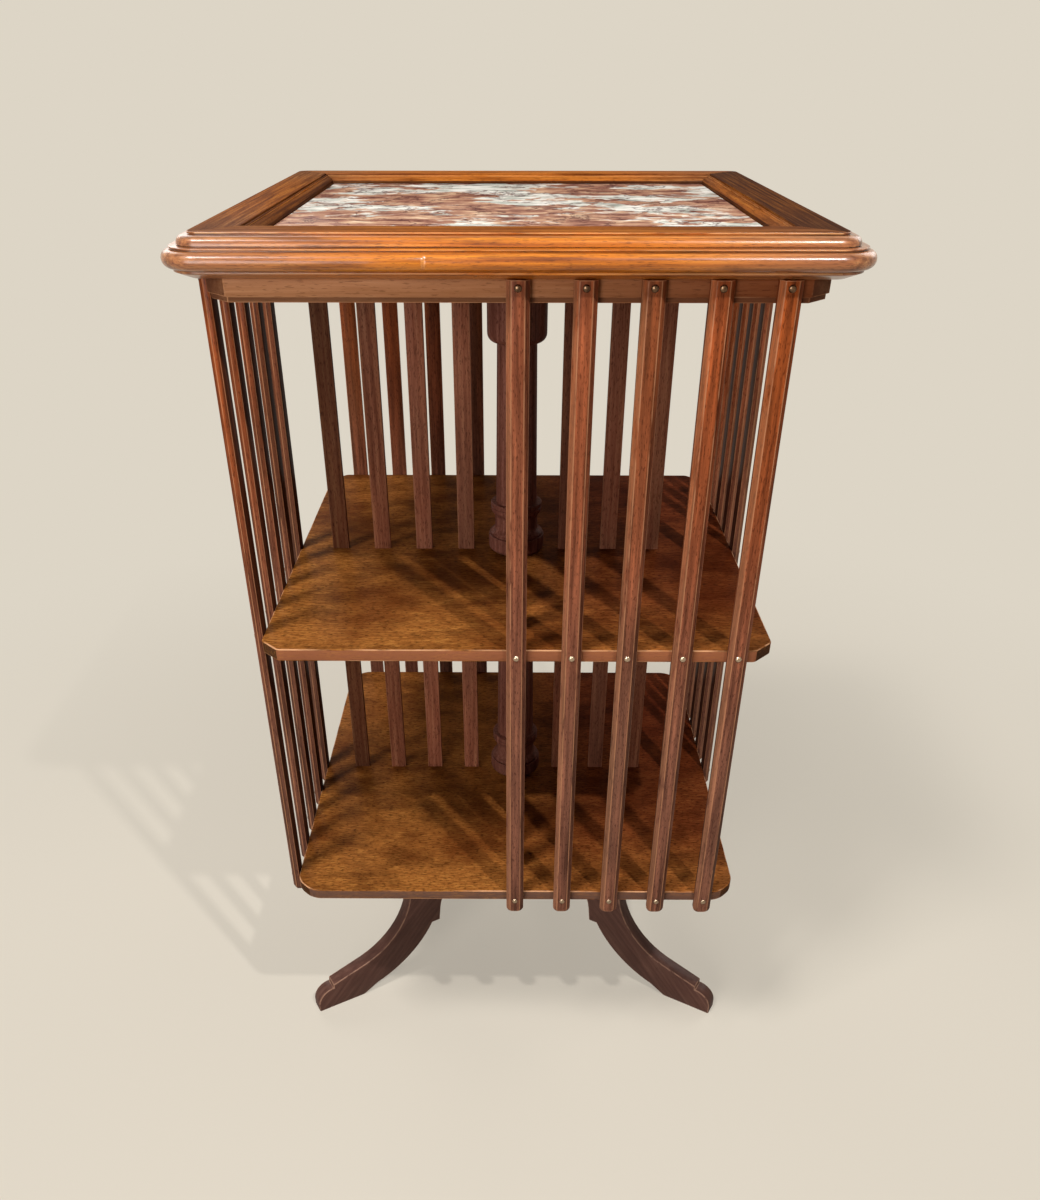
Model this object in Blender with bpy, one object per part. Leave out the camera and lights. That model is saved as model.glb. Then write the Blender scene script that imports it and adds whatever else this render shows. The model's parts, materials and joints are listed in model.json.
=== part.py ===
# Revolving bookcase: a square slatted case with a marble top that turns on a fixed tripod base.
# Metres, +Z up, floor at Z = 0. The front is -Y, and the case turns about X = 0, Y = AXIS_Y.

import math

import bmesh
import bpy
from mathutils import Matrix, Vector

# Fits
GAP = 0.0003  # between two pieces that touch
BORE_ROOM = 0.002  # around the spindle inside the hollow columns
CUT_OVER = 0.001  # how far a cutter runs past the face it opens

# Shelves and frieze board
SHELF_HALF = 0.216  # half the side of the square boards
SHELF_THICK = 0.011
CORNER_CLIP = 0.016
FLOOR_TO_CASE = 0.2485  # floor to the underside of the bottom shelf
LOWER_BAY = 0.257  # clear height of the lower book bays
UPPER_BAY = 0.2685  # clear height of the upper book bays
FRIEZE_BAND = 0.012
FRIEZE_FILLET = 0.004
FRIEZE_SETBACK = 0.002

# Outer slats, on the right half of each side
SLAT_COUNT = 5
SLAT_END_INSET = 0.032  # last slat's centre line to the board's corner
SLAT_WIDTH = 0.0165
SLAT_THICK = 0.008
SLAT_CHAMFER = 0.0035
SLAT_END_RADIUS = 0.006
SLAT_DROP = 0.011  # below the underside of the bottom shelf

# Inner divider slats, in two crossing rows
DIVIDER_COUNT = 4
DIVIDER_COLUMN_GAP = 0.0147  # column base to the first divider
DIVIDER_END_INSET = 0.040  # last divider's centre line to the board's edge
DIVIDER_WIDTH = 0.016
DIVIDER_THICK = 0.007
DIVIDER_TENON = 0.004  # let into the bottom shelf and the frieze board

# Turned columns, from the foot up
COLUMN_DRUM_RADIUS = 0.0273
COLUMN_DRUM_HEIGHT = 0.017
COLUMN_DRUM_ROUND = 0.005
COLUMN_FILLET_RADIUS = 0.0255
COLUMN_FILLET_HEIGHT = 0.006
COLUMN_NECK_RADIUS = 0.0208
COLUMN_NECK_HEIGHT = 0.013
COLUMN_RING_RADIUS = 0.0248
COLUMN_RING_HEIGHT = 0.013
COLUMN_SHAFT_LOW_RADIUS = 0.0198
COLUMN_SHAFT_TOP_RADIUS = 0.0182
COLUMN_CAPITAL_RADIUS = 0.0270
COLUMN_CAPITAL_HEIGHT = 0.071
COLUMN_CAPITAL_ROUND = 0.0075

# Top frame and marble
TOP_OVERHANG = 0.0235  # widest part of the edge moulding, out from the boards
TOP_THICK = 0.028
TOP_CORNER_RADIUS = 0.028
FRAME_WIDTH = 0.058  # marble's edge to the widest part of the moulding
MARBLE_DROP = 0.008  # marble's face below the top of the frame
INNER_MOULDING = 0.008  # width of the rounded moulding round the marble
INNER_STEP = 0.0014
EDGE_ARRIS = 0.019  # top's outer arris, in from the widest part
EDGE_OVOLO_WIDTH = 0.0078
EDGE_OVOLO_HEIGHT = 0.0082
EDGE_FILLET_WIDTH = 0.0042
EDGE_FILLET_HEIGHT = 0.0021
EDGE_BULLNOSE_RADIUS = 0.0057
EDGE_QUIRK = 0.0018  # depth of the groove under the bullnose
EDGE_QUIRK_HEIGHT = 0.0009
EDGE_UNDERCUT = 0.0178  # underside's outer edge, in from the widest part

# Spindle and bearings
SPINDLE_RADIUS = 0.008
SPINDLE_TAPER = 0.002
SPINDLE_SOCKET = 0.060  # depth of the spindle in the hub
PLATE_RADIUS = 0.035
PLATE_THICK = 0.004
BUSH_RADIUS = 0.014
WASHER_RADIUS = 0.030
WASHER_THICK = 0.003
CUP_RADIUS = 0.014
CUP_HEIGHT = 0.010
CUP_DEPTH = 0.004

# Base
PLATFORM_LIP = 0.0055  # platform's edge past the legs' upright edges
PLATFORM_THICK = 0.020
HUB_RADIUS = 0.050
HUB_HEIGHT = 0.085
HUB_ROUND = 0.020
LEG_COUNT = 3
LEG_THICK = 0.0165
LEG_HOUSING = 0.008  # depth of the leg in the hub
LEG_REACH = 0.270  # axis to the tip of the toe
LEG_KNEE = 0.1445  # axis to the leg's upright outer edge
LEG_DEPTH = 0.042  # outer edge to inner edge at the knee
LEG_KNEE_HEIGHT = 0.138  # floor to where the sweep starts
LEG_OUTER_SWEEP = 0.0955  # radius of the upper edge
LEG_UNDER_SWEEP = 0.134  # radius of the lower edge
LEG_OUTER_TURN = math.radians(70)
LEG_UNDER_TURN = math.radians(72)
LEG_SHOULDER_TURN = math.radians(28.5)
LEG_SHOULDER = 0.010
LEG_BLOCK_HEIGHT = 0.074  # height of the leg's block against the hub
FOOT_LENGTH = 0.057
TOE_HEIGHT = 0.0295
TOE_RADIUS = 0.020
TOE_STEP = 0.005
SCREW_PLACE = 0.024  # in from the leg's upright outer edge
SCREW_RADIUS = 0.0022
SCREW_HEAD_RADIUS = 0.0045
SCREW_LENGTH = 0.045

# Facets
ROUND_STEPS = 24
FINE_STEPS = 12
ARC_STEPS = 4
SWEEP_STEPS = 8
SMOOTH_ANGLE = 40  # degrees, above which an edge stays sharp
WELD = 1e-6  # points of one turned piece closer than this are one

# Heights of the case, from the floor up
BOTTOM_TOP = FLOOR_TO_CASE + SHELF_THICK
MIDDLE_UNDER = BOTTOM_TOP + LOWER_BAY
MIDDLE_TOP = MIDDLE_UNDER + SHELF_THICK
FRIEZE_UNDER = MIDDLE_TOP + UPPER_BAY
FRIEZE_BAND_UNDER = FRIEZE_UNDER + FRIEZE_FILLET
FRIEZE_TOP = FRIEZE_BAND_UNDER + FRIEZE_BAND
FRAME_UNDER = FRIEZE_TOP + GAP
FRAME_TOP = FRAME_UNDER + TOP_THICK
MARBLE_TOP = FRAME_TOP - MARBLE_DROP

# Heights of the base, from the case down
PLATFORM_TOP = FLOOR_TO_CASE - WASHER_THICK - 2 * GAP
PLATFORM_UNDER = PLATFORM_TOP - PLATFORM_THICK
HUB_TOP = PLATFORM_UNDER - GAP
HUB_UNDER = HUB_TOP - HUB_HEIGHT
LEG_BLOCK_UNDER = HUB_TOP - LEG_BLOCK_HEIGHT

# Plan sizes that follow from the others
TOP_HALF = SHELF_HALF + TOP_OVERHANG
OPENING_HALF = TOP_HALF - FRAME_WIDTH
SLAT_PITCH = (SHELF_HALF - SLAT_END_INSET) / (SLAT_COUNT - 1)
DIVIDER_FIRST = COLUMN_DRUM_RADIUS + DIVIDER_COLUMN_GAP + DIVIDER_WIDTH / 2
DIVIDER_LAST = SHELF_HALF - DIVIDER_END_INSET
DIVIDER_PITCH = (DIVIDER_LAST - DIVIDER_FIRST) / (DIVIDER_COUNT - 1)
SPINDLE_HOLE = SPINDLE_RADIUS + GAP
COLUMN_BORE = SPINDLE_RADIUS + BORE_ROOM
LEG_INNER = HUB_RADIUS - LEG_HOUSING + GAP
SCREW_REACH = LEG_KNEE - SCREW_PLACE
PLATFORM_RADIUS = LEG_KNEE + PLATFORM_LIP
AXIS_Y = (TOP_HALF - LEG_REACH) / 2  # puts the origin under the middle of the overall box

QUARTER = math.pi / 2
SIDES = ("front", "right", "rear", "left")
LEGS = ("rear", "front_left", "front_right")


def clear_scene():
    for old in list(bpy.data.objects):
        bpy.data.objects.remove(old)


def make_material(name, colour, roughness, metallic=0.0):
    material = bpy.data.materials.new(name)
    material.use_nodes = True
    shader = material.node_tree.nodes["Principled BSDF"]
    shader.inputs["Base Color"].default_value = (*colour, 1.0)
    shader.inputs["Roughness"].default_value = roughness
    shader.inputs["Metallic"].default_value = metallic
    return material


def make_axis(name):
    axis = bpy.data.objects.new(name, None)
    axis.location = (0.0, AXIS_Y, 0.0)
    bpy.context.scene.collection.objects.link(axis)
    return axis


def mesh_from(name, bm, material=None, smooth=False):
    bmesh.ops.recalc_face_normals(bm, faces=bm.faces)
    mesh = bpy.data.meshes.new(name)
    bm.to_mesh(mesh)
    bm.free()
    if material:
        mesh.materials.append(material)
    if smooth:
        mesh.shade_smooth()
        mesh.set_sharp_from_angle(angle=math.radians(SMOOTH_ANGLE))
    return mesh


def add_piece(name, mesh, parent, place=(0.0, 0.0), turn=0.0):
    piece = bpy.data.objects.new(name, mesh)
    piece.parent = parent
    piece.location = (place[0], place[1], 0.0)
    piece.rotation_euler = (0.0, 0.0, turn)
    bpy.context.scene.collection.objects.link(piece)
    return piece


def cut(piece, cutter_bm):
    # A hidden cutter with the piece's own place and turn.
    mesh = mesh_from(piece.name + "_cutter", cutter_bm)
    cutter = add_piece(mesh.name, mesh, piece.parent, piece.location.xy, piece.rotation_euler.z)
    cutter.hide_render = True
    cutter.display_type = "WIRE"
    boolean = piece.modifiers.new("cut", "BOOLEAN")
    boolean.operation = "DIFFERENCE"
    boolean.object = cutter


def turned_point(x, y, quarters):
    return Matrix.Rotation(quarters * QUARTER, 2) @ Vector((x, y))


def arc(centre_u, centre_v, radius, start, end, steps):
    points = []
    for step in range(steps + 1):
        angle = start + (end - start) * step / steps
        points.append((centre_u + radius * math.cos(angle), centre_v + radius * math.sin(angle)))
    return points


def bend(start, pull, end, steps):
    # Points of a smooth curve that leaves start towards pull and reaches end from pull.
    points = []
    for step in range(steps + 1):
        share = step / steps
        first = Vector(start).lerp(Vector(pull), share)
        second = Vector(pull).lerp(Vector(end), share)
        points.append(tuple(first.lerp(second, share)))
    return points


def spun(profile, steps=ROUND_STEPS):
    # Turns an outline of radius and height points about the vertical axis.
    # An outline that starts and ends on the axis stays open there.
    bm = bmesh.new()
    verts = [bm.verts.new((radius, 0.0, height)) for radius, height in profile]
    edges = [bm.edges.new(pair) for pair in zip(verts, verts[1:])]
    if profile[0][0] > 0:
        edges.append(bm.edges.new((verts[-1], verts[0])))
    bmesh.ops.spin(
        bm, geom=verts + edges, cent=(0, 0, 0), axis=(0, 0, 1), angle=math.tau, steps=steps, use_merge=True
    )
    bmesh.ops.remove_doubles(bm, verts=bm.verts, dist=WELD)
    return bm


def tube(inner, outer, low, high):
    return spun([(inner, low), (outer, low), (outer, high), (inner, high)])


def lofted(rings):
    # Joins rings of points, each with as many points, and closes both ends.
    bm = bmesh.new()
    loops = [[bm.verts.new(point) for point in ring] for ring in rings]
    for near, far in zip(loops, loops[1:]):
        for side in range(len(near)):
            after = (side + 1) % len(near)
            bm.faces.new((near[side], near[after], far[after], far[side]))
    bm.faces.new(loops[0])
    bm.faces.new(loops[-1])
    return bm


def add_box(bm, place, size, low, high, turn=0.0):
    middle = Matrix.Translation((place[0], place[1], (low + high) / 2))
    shape = Matrix.Diagonal((size[0], size[1], high - low, 1.0))
    bmesh.ops.create_cube(bm, size=1.0, matrix=middle @ Matrix.Rotation(turn, 4, "Z") @ shape)


def add_rod(bm, radius, low, high):
    middle = Matrix.Translation((0.0, 0.0, (low + high) / 2))
    bmesh.ops.create_cone(
        bm,
        cap_ends=True,
        segments=ROUND_STEPS,
        radius1=radius,
        radius2=radius,
        depth=high - low,
        matrix=middle,
    )


def board_ring(half, height):
    # A square with clipped corners.
    inner = half - CORNER_CLIP
    ring = []
    for quarter in range(4):
        for x, y in ((-inner, -half), (inner, -half)):
            ring.append((*turned_point(x, y, quarter), height))
    return ring


def divider_places():
    # Name, plan place and turn of each inner divider, arm by arm from the column outwards.
    places = []
    for quarter, side in enumerate(SIDES):
        for number in range(DIVIDER_COUNT):
            place = turned_point(0.0, -DIVIDER_FIRST - number * DIVIDER_PITCH, quarter)
            places.append((f"divider_{side}_{number + 1}", place, (quarter + 1) * QUARTER))
    return places


def divider_mortises(bm, low, high):
    size = (DIVIDER_WIDTH + 2 * GAP, DIVIDER_THICK + 2 * GAP)
    for _, place, turn in divider_places():
        add_box(bm, place, size, low, high, turn)


def build_boards(case, wood):
    bottom_rings = [board_ring(SHELF_HALF, FLOOR_TO_CASE), board_ring(SHELF_HALF, BOTTOM_TOP)]
    bottom = add_piece("bottom_shelf", mesh_from("bottom_shelf", lofted(bottom_rings), wood), case)
    bottom_cut = bmesh.new()
    add_rod(bottom_cut, BUSH_RADIUS + GAP, FLOOR_TO_CASE - CUT_OVER, BOTTOM_TOP + CUT_OVER)
    divider_mortises(bottom_cut, BOTTOM_TOP - DIVIDER_TENON, BOTTOM_TOP + CUT_OVER)
    cut(bottom, bottom_cut)

    middle_rings = [board_ring(SHELF_HALF, MIDDLE_UNDER), board_ring(SHELF_HALF, MIDDLE_TOP)]
    middle = add_piece("middle_shelf", mesh_from("middle_shelf", lofted(middle_rings), wood), case)
    middle_cut = bmesh.new()
    add_rod(middle_cut, COLUMN_BORE, MIDDLE_UNDER - CUT_OVER, MIDDLE_TOP + CUT_OVER)
    divider_mortises(middle_cut, MIDDLE_UNDER - CUT_OVER, MIDDLE_TOP + CUT_OVER)
    cut(middle, middle_cut)

    frieze_rings = [
        board_ring(SHELF_HALF - FRIEZE_SETBACK, FRIEZE_UNDER),
        board_ring(SHELF_HALF - FRIEZE_SETBACK, FRIEZE_BAND_UNDER),
        board_ring(SHELF_HALF, FRIEZE_BAND_UNDER),
        board_ring(SHELF_HALF, FRIEZE_TOP),
    ]
    frieze = add_piece("frieze_board", mesh_from("frieze_board", lofted(frieze_rings), wood), case)
    frieze_cut = bmesh.new()
    add_rod(frieze_cut, CUP_RADIUS + GAP, FRIEZE_UNDER - CUT_OVER, FRIEZE_UNDER + CUP_HEIGHT + GAP)
    divider_mortises(frieze_cut, FRIEZE_UNDER - CUT_OVER, FRIEZE_UNDER + DIVIDER_TENON)
    cut(frieze, frieze_cut)


def slat_mesh(wood):
    # Back face on y = 0, front face towards -y, chamfered on its sides and round its lower end.
    half = SLAT_WIDTH / 2
    low = FLOOR_TO_CASE - SLAT_DROP
    high = FRAME_UNDER - GAP
    inset = half - SLAT_END_RADIUS
    round_height = low + SLAT_END_RADIUS
    outline = arc(-inset, round_height, SLAT_END_RADIUS, 2 * QUARTER, 3 * QUARTER, ARC_STEPS)
    outline += arc(inset, round_height, SLAT_END_RADIUS, 3 * QUARTER, 4 * QUARTER, ARC_STEPS)
    outline += [(half, high), (-half, high)]
    bm = lofted([[(x, y, z) for x, z in outline] for y in (0.0, -SLAT_THICK)])
    front = [vert for vert in bm.verts if vert.co.y < -SLAT_THICK / 2]
    chamfered = []
    for edge in bm.edges:
        at_top = all(vert.co.z > high - SLAT_END_RADIUS for vert in edge.verts)
        if all(vert in front for vert in edge.verts) and not at_top:
            chamfered.append(edge)
    bmesh.ops.bevel(
        bm, geom=chamfered, offset=SLAT_CHAMFER, offset_type="OFFSET", segments=1, profile=0.5, affect="EDGES"
    )
    return mesh_from("slat", bm, wood)


def build_slats(case, wood):
    mesh = slat_mesh(wood)
    for quarter, side in enumerate(SIDES):
        for number in range(SLAT_COUNT):
            place = turned_point(number * SLAT_PITCH, -SHELF_HALF - GAP, quarter)
            add_piece(f"slat_{side}_{number + 1}", mesh, case, place, quarter * QUARTER)


def build_dividers(case, wood):
    bm = bmesh.new()
    low = BOTTOM_TOP - DIVIDER_TENON + GAP
    high = FRIEZE_UNDER + DIVIDER_TENON - GAP
    add_box(bm, (0.0, 0.0), (DIVIDER_WIDTH, DIVIDER_THICK), low, high)
    mesh = mesh_from("divider", bm, wood)
    for name, place, turn in divider_places():
        add_piece(name, mesh, case, place, turn)


def column_profile(low, high):
    fillet = low + COLUMN_DRUM_HEIGHT
    neck = fillet + COLUMN_FILLET_HEIGHT
    ring = neck + COLUMN_NECK_HEIGHT
    shaft = ring + COLUMN_RING_HEIGHT
    capital = high - COLUMN_CAPITAL_HEIGHT
    drum_in = COLUMN_DRUM_RADIUS - COLUMN_DRUM_ROUND
    capital_in = COLUMN_CAPITAL_RADIUS - COLUMN_CAPITAL_ROUND
    profile = [(COLUMN_BORE, low)]
    profile += arc(drum_in, low + COLUMN_DRUM_ROUND, COLUMN_DRUM_ROUND, -QUARTER, 0.0, ARC_STEPS)
    profile += [(COLUMN_DRUM_RADIUS, fillet), (COLUMN_FILLET_RADIUS, fillet)]
    profile += [(COLUMN_NECK_RADIUS, neck), (COLUMN_NECK_RADIUS, ring)]
    profile += [(COLUMN_RING_RADIUS, (ring + shaft) / 2), (COLUMN_RING_RADIUS, shaft)]
    profile += [(COLUMN_SHAFT_LOW_RADIUS, shaft), (COLUMN_SHAFT_TOP_RADIUS, capital)]
    profile += arc(
        capital_in, capital + COLUMN_CAPITAL_ROUND, COLUMN_CAPITAL_ROUND, -QUARTER, 0.0, ARC_STEPS
    )
    profile += [(COLUMN_CAPITAL_RADIUS, high), (COLUMN_BORE, high)]
    return profile


def build_columns(case, wood):
    for name, low, high in (
        ("column_lower", BOTTOM_TOP + GAP, MIDDLE_UNDER - GAP),
        ("column_upper", MIDDLE_TOP + GAP, FRIEZE_UNDER - GAP),
    ):
        add_piece(name, mesh_from(name, spun(column_profile(low, high)), wood, smooth=True), case)


def rail_profile():
    # Distance out from the axis and height, from the marble's edge up, over and down the moulded edge.
    arris = TOP_HALF - EDGE_ARRIS
    ovolo = arris + EDGE_OVOLO_WIDTH
    fillet = ovolo + EDGE_FILLET_WIDTH
    bullnose = TOP_HALF - EDGE_BULLNOSE_RADIUS
    ovolo_under = FRAME_TOP - EDGE_OVOLO_HEIGHT
    bullnose_top = ovolo_under - EDGE_FILLET_HEIGHT
    bullnose_mid = bullnose_top - EDGE_BULLNOSE_RADIUS
    bullnose_under = bullnose_mid - EDGE_BULLNOSE_RADIUS
    quirk = bullnose - EDGE_QUIRK
    quirk_under = bullnose_under - EDGE_QUIRK_HEIGHT
    moulding_out = OPENING_HALF + INNER_MOULDING
    moulding_top = FRAME_TOP - INNER_STEP
    profile = [(OPENING_HALF, FRAME_UNDER)]
    moulding_corner = (OPENING_HALF, moulding_top)
    profile += bend((OPENING_HALF, MARBLE_TOP), moulding_corner, (moulding_out, moulding_top), ARC_STEPS)
    profile += [(moulding_out, FRAME_TOP)]
    profile += bend((arris, FRAME_TOP), (ovolo, FRAME_TOP), (ovolo, ovolo_under), ARC_STEPS)
    profile += [(fillet, ovolo_under), (fillet, bullnose_top)]
    profile += arc(bullnose, bullnose_mid, EDGE_BULLNOSE_RADIUS, QUARTER, -QUARTER, 2 * ARC_STEPS)
    profile += [(quirk, bullnose_under), (quirk, quirk_under), (TOP_HALF - EDGE_UNDERCUT, FRAME_UNDER)]
    return profile


def rail_path(reach):
    # Plan points of one line of the moulding, from mitre to mitre, this far out from the axis.
    # Lines outside the corner's centre go round it, and lines inside it meet square.
    centre = TOP_HALF - TOP_CORNER_RADIUS
    half_path = []
    for step in range(ARC_STEPS + 1):
        share = step / ARC_STEPS
        if reach > centre:
            angle = (1 - share) * QUARTER / 2
            out = reach - centre
            half_path.append((-centre - out * math.sin(angle), -centre - out * math.cos(angle)))
        else:
            half_path.append((-reach + share * TOP_CORNER_RADIUS, -reach))
    mitre_x, mitre_y = half_path[0]
    half_path[0] = (mitre_x + GAP / math.sqrt(2), mitre_y)
    return half_path + [(-x, y) for x, y in reversed(half_path)]


def build_top(case, wood, marble):
    lines = [[(x, y, height) for x, y in rail_path(reach)] for reach, height in rail_profile()]
    mesh = mesh_from("top_rail", lofted(list(zip(*lines))), wood, smooth=True)
    for quarter, side in enumerate(SIDES):
        add_piece(f"top_rail_{side}", mesh, case, turn=quarter * QUARTER)

    slab = bmesh.new()
    side = 2 * (OPENING_HALF - GAP)
    add_box(slab, (0.0, 0.0), (side, side), FRIEZE_TOP + GAP, MARBLE_TOP)
    add_piece("marble_panel", mesh_from("marble_panel", slab, marble), case)


def build_bearings(base, case, iron, brass):
    low = HUB_TOP - SPINDLE_SOCKET + GAP
    high = FRIEZE_UNDER + CUP_DEPTH - GAP
    spindle = [(0.0, low), (SPINDLE_RADIUS, low), (SPINDLE_RADIUS, high - SPINDLE_TAPER)]
    spindle += [(SPINDLE_RADIUS - SPINDLE_TAPER, high), (0.0, high)]
    add_piece("spindle", mesh_from("spindle", spun(spindle), iron, smooth=True), base)

    plate = tube(SPINDLE_HOLE, PLATE_RADIUS, PLATFORM_TOP - PLATE_THICK, PLATFORM_TOP)
    add_piece("spindle_plate", mesh_from("spindle_plate", plate, iron, smooth=True), base)

    washer = tube(SPINDLE_HOLE, WASHER_RADIUS, PLATFORM_TOP + GAP, PLATFORM_TOP + GAP + WASHER_THICK)
    add_piece("thrust_washer", mesh_from("thrust_washer", washer, brass, smooth=True), base)

    bush = tube(SPINDLE_HOLE, BUSH_RADIUS, FLOOR_TO_CASE, BOTTOM_TOP)
    add_piece("bottom_bush", mesh_from("bottom_bush", bush, brass, smooth=True), case)

    seat = FRIEZE_UNDER + CUP_DEPTH
    crown = FRIEZE_UNDER + CUP_HEIGHT
    cup = [(0.0, seat), (SPINDLE_HOLE, seat), (SPINDLE_HOLE, FRIEZE_UNDER), (CUP_RADIUS, FRIEZE_UNDER)]
    cup += [(CUP_RADIUS, crown), (0.0, crown)]
    add_piece("pivot_cup", mesh_from("pivot_cup", spun(cup), brass, smooth=True), case)


def leg_outline():
    # Distance out from the axis and height, from the hub over the knee to the toe and back underneath.
    outer_centre = LEG_KNEE + LEG_OUTER_SWEEP
    under_centre = LEG_KNEE - LEG_DEPTH + LEG_UNDER_SWEEP
    toe_centre = LEG_REACH - TOE_RADIUS
    half_turn = math.pi
    outline = [(LEG_INNER, HUB_TOP), (LEG_KNEE, HUB_TOP)]
    outline += arc(
        outer_centre, LEG_KNEE_HEIGHT, LEG_OUTER_SWEEP, half_turn, half_turn + LEG_OUTER_TURN, SWEEP_STEPS
    )
    outline += [(toe_centre, TOE_HEIGHT + TOE_STEP)]
    outline += arc(toe_centre, TOE_HEIGHT - TOE_RADIUS, TOE_RADIUS, QUARTER, 0.0, ARC_STEPS)
    outline += [(LEG_REACH, 0.0), (LEG_REACH - FOOT_LENGTH, 0.0)]
    under = arc(
        under_centre,
        LEG_KNEE_HEIGHT,
        LEG_UNDER_SWEEP,
        half_turn + LEG_UNDER_TURN,
        half_turn + LEG_SHOULDER_TURN,
        SWEEP_STEPS,
    )
    shoulder_out, shoulder_height = under[-1]
    shoulder = (shoulder_out - LEG_SHOULDER, shoulder_height)
    hub_face = (HUB_RADIUS + GAP, LEG_BLOCK_UNDER)
    inner = bend(shoulder, (LEG_KNEE - LEG_DEPTH, LEG_KNEE_HEIGHT), hub_face, ARC_STEPS)
    return outline + under + inner + [(LEG_INNER, LEG_BLOCK_UNDER)]


def screw_profile(room=0.0, over=0.0):
    # A countersunk wood screw, or with room and over the hole that takes it.
    head = PLATFORM_TOP - GAP
    neck = head - SCREW_HEAD_RADIUS + SCREW_RADIUS
    tip = head - SCREW_LENGTH - room
    profile = [(0.0, head + over), (SCREW_HEAD_RADIUS + room, head + over)]
    if over:
        profile.append((SCREW_HEAD_RADIUS + room, head))
    return profile + [(SCREW_RADIUS + room, neck), (SCREW_RADIUS + room, tip), (0.0, tip)]


def screw_hole(angle):
    hole = spun(screw_profile(GAP, CUT_OVER), FINE_STEPS)
    place = Matrix.Rotation(angle, 4, "Z") @ Matrix.Translation((SCREW_REACH, 0.0, 0.0))
    bmesh.ops.transform(hole, matrix=place, verts=hole.verts)
    return hole


def build_base(base, wood, iron):
    angles = [QUARTER + number * math.tau / LEG_COUNT for number in range(LEG_COUNT)]

    half_edge = PLATFORM_THICK / 2
    recess = PLATFORM_TOP - PLATE_THICK - GAP
    profile = [(SPINDLE_HOLE, recess), (SPINDLE_HOLE, PLATFORM_UNDER)]
    profile += arc(
        PLATFORM_RADIUS - half_edge, PLATFORM_UNDER + half_edge, half_edge, -QUARTER, QUARTER, 2 * ARC_STEPS
    )
    profile += [(PLATE_RADIUS + GAP, PLATFORM_TOP), (PLATE_RADIUS + GAP, recess)]
    platform = add_piece("base_platform", mesh_from("base_platform", spun(profile), wood, smooth=True), base)
    for angle in angles:
        cut(platform, screw_hole(angle))

    socket = HUB_TOP - SPINDLE_SOCKET
    profile = [(0.0, HUB_UNDER)]
    profile += arc(HUB_RADIUS - HUB_ROUND, HUB_UNDER + HUB_ROUND, HUB_ROUND, -QUARTER, 0.0, ARC_STEPS)
    profile += [(HUB_RADIUS, HUB_TOP), (SPINDLE_HOLE, HUB_TOP), (SPINDLE_HOLE, socket), (0.0, socket)]
    hub = add_piece("base_hub", mesh_from("base_hub", spun(profile), wood, smooth=True), base)
    housings = bmesh.new()
    for angle in angles:
        middle = HUB_RADIUS + CUT_OVER - LEG_HOUSING / 2
        place = (middle * math.cos(angle), middle * math.sin(angle))
        size = (LEG_HOUSING + 2 * CUT_OVER, LEG_THICK + 2 * GAP)
        add_box(housings, place, size, LEG_BLOCK_UNDER - GAP, HUB_TOP + CUT_OVER, angle)
    cut(hub, housings)

    faces = [[(out, side * LEG_THICK / 2, height) for out, height in leg_outline()] for side in (-1, 1)]
    leg_mesh = mesh_from("leg", lofted(faces), wood)
    screw_mesh = mesh_from("leg_screw", spun(screw_profile(), FINE_STEPS), iron, smooth=True)
    for name, angle in zip(LEGS, angles):
        leg = add_piece(f"leg_{name}", leg_mesh, base, turn=angle)
        cut(leg, screw_hole(0.0))
        place = (SCREW_REACH * math.cos(angle), SCREW_REACH * math.sin(angle))
        add_piece(f"leg_screw_{name}", screw_mesh, base, place, angle)


def main():
    clear_scene()
    top_wood = make_material("polished_mahogany", (0.30, 0.105, 0.028), 0.32)
    case_wood = make_material("stained_mahogany", (0.135, 0.042, 0.018), 0.45)
    shelf_wood = make_material("waxed_mahogany", (0.165, 0.066, 0.018), 0.42)
    base_wood = make_material("dark_stained_beech", (0.075, 0.028, 0.017), 0.50)
    marble = make_material("veined_marble", (0.48, 0.36, 0.31), 0.18)
    iron = make_material("black_iron", (0.06, 0.055, 0.05), 0.50, 1.0)
    brass = make_material("turned_brass", (0.55, 0.38, 0.14), 0.35, 1.0)

    base = make_axis("base_axis")
    case = make_axis("case_axis")
    build_base(base, base_wood, iron)
    build_bearings(base, case, iron, brass)
    build_boards(case, shelf_wood)
    build_columns(case, case_wood)
    build_dividers(case, case_wood)
    build_slats(case, case_wood)
    build_top(case, top_wood, marble)


main()
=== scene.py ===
import json
import math

import bmesh
import bpy
from mathutils import Matrix, Vector

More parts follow.
